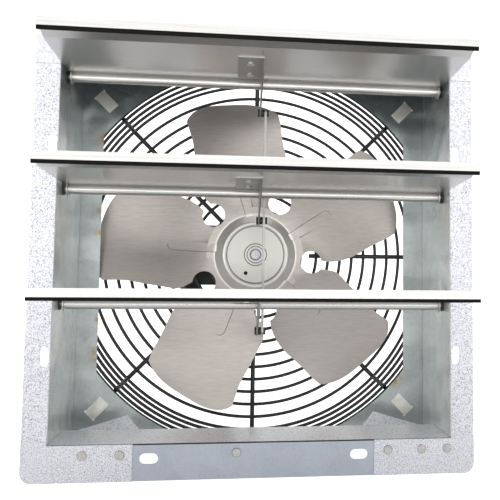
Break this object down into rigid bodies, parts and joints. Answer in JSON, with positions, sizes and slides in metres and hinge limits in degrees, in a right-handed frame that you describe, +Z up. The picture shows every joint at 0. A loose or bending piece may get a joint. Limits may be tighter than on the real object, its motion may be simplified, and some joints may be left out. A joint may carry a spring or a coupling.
{
  "type": "shutter exhaust fan",
  "caption": "Square wall exhaust fan with linked gravity shutters, pressed blades, wire guard and rear motor",
  "frame": {"origin": "centre of the wall seat, on the back face of the flange", "axes": "+X right seen from the shutter side, +Y into the box towards the motor, +Z up"},
  "size_m": [0.379, 0.2927, 0.379],
  "materials": {
    "galvanised_sheet": "spangled zinc coat",
    "panel_zinc": "smooth zinc coat",
    "clip_zinc": "bright zinc",
    "rivet_steel": "dull steel",
    "louvre_aluminium": "bright mill finish",
    "link_aluminium": "mill finish",
    "fan_aluminium": "brushed",
    "seal_rubber": "matt black",
    "bush_plastic": "moulded black",
    "pin_plastic": "moulded black",
    "pivot_steel": "turned",
    "guard_paint": "black coat",
    "motor_paint": "satin black",
    "zinc_fastener": "bright zinc",
    "shaft_steel": "ground",
    "core_steel": "stacked sheet",
    "winding_copper": "enamelled copper wire",
    "inner_plastic": "moulded cream",
    "capacitor_case": "moulded"
  },
  "bodies": {
    "housing": {"side_member_left": "galvanised_sheet", "side_member_right": "galvanised_sheet", "top_panel": "panel_zinc", "bottom_panel": "panel_zinc", "flange_rivets": "rivet_steel", "pivot_bushes": "bush_plastic", "guard_clips": "clip_zinc", "guard_rings": "guard_paint", "guard_side_rings": "guard_paint", "guard_struts": "guard_paint", "motor_mount_plate": "guard_paint", "motor_front_bell": "motor_paint", "motor_shell": "motor_paint", "motor_rear_bell": "motor_paint", "stator_core": "core_steel", "stator_windings": "winding_copper", "front_bearing": "shaft_steel", "rear_bearing": "shaft_steel", "motor_through_bolts": "zinc_fastener", "motor_mount_nuts": "zinc_fastener", "terminal_box": "motor_paint", "terminal_box_cover": "motor_paint", "terminal_box_saddle": "motor_paint", "terminal_cover_screws": "zinc_fastener", "terminal_block": "inner_plastic", "run_capacitor": "capacitor_case", "cable_gland": "bush_plastic", "gland_nut": "bush_plastic", "gland_locknut": "bush_plastic"},
    "shutter_top": {"shutter_top": "louvre_aluminium", "seal_strip_top": "seal_rubber", "pivot_pins_top": "pivot_steel", "pivot_washers_top": "zinc_fastener", "link_bracket_top": "link_aluminium", "bracket_rivets_top": "rivet_steel", "link_pin_top": "pin_plastic"},
    "shutter_middle": {"shutter_middle": "louvre_aluminium", "seal_strip_middle": "seal_rubber", "pivot_pins_middle": "pivot_steel", "pivot_washers_middle": "zinc_fastener", "link_bracket_middle": "link_aluminium", "bracket_rivets_middle": "rivet_steel", "link_pin_middle": "pin_plastic"},
    "shutter_bottom": {"shutter_bottom": "louvre_aluminium", "seal_strip_bottom": "seal_rubber", "pivot_pins_bottom": "pivot_steel", "pivot_washers_bottom": "zinc_fastener", "link_bracket_bottom": "link_aluminium", "bracket_rivets_bottom": "rivet_steel", "link_pin_bottom": "pin_plastic"},
    "tie_bar": {"tie_bar": "link_aluminium"},
    "rotor": {"fan_blades": "fan_aluminium", "fan_hub": "zinc_fastener", "hub_set_screw": "zinc_fastener", "motor_shaft": "shaft_steel", "rotor_core": "core_steel"}
  },
  "joints": [
    {"name": "top_shutter_hinge", "type": "hinge", "parent": "housing", "child": "shutter_top", "pos_m": [0, 0.0232, 0.1504], "axis": [1, 0, 0], "range_deg": [-1, 90]},
    {"name": "middle_shutter_hinge", "type": "hinge", "parent": "housing", "child": "shutter_middle", "pos_m": [0, 0.0232, 0.0524], "axis": [1, 0, 0], "range_deg": [-1, 90]},
    {"name": "bottom_shutter_hinge", "type": "hinge", "parent": "housing", "child": "shutter_bottom", "pos_m": [0, 0.0232, -0.0456], "axis": [1, 0, 0], "range_deg": [-1, 90]},
    {"name": "tie_bar_pivot", "type": "hinge", "parent": "shutter_top", "child": "tie_bar", "pos_m": [0, 0.0314, 0.1268], "axis": [1, 0, 0], "range_deg": [-90, 1]},
    {"name": "fan_spin", "type": "hinge", "parent": "housing", "child": "rotor", "pos_m": [0, 0.1, 0], "axis": [0, 1, 0], "continuous": true}
  ],
  "couplings": [
    {"joint": "middle_shutter_hinge", "follows": "top_shutter_hinge", "ratio": 1},
    {"joint": "bottom_shutter_hinge", "follows": "top_shutter_hinge", "ratio": 1},
    {"joint": "tie_bar_pivot", "follows": "top_shutter_hinge", "ratio": -1}
  ]
}
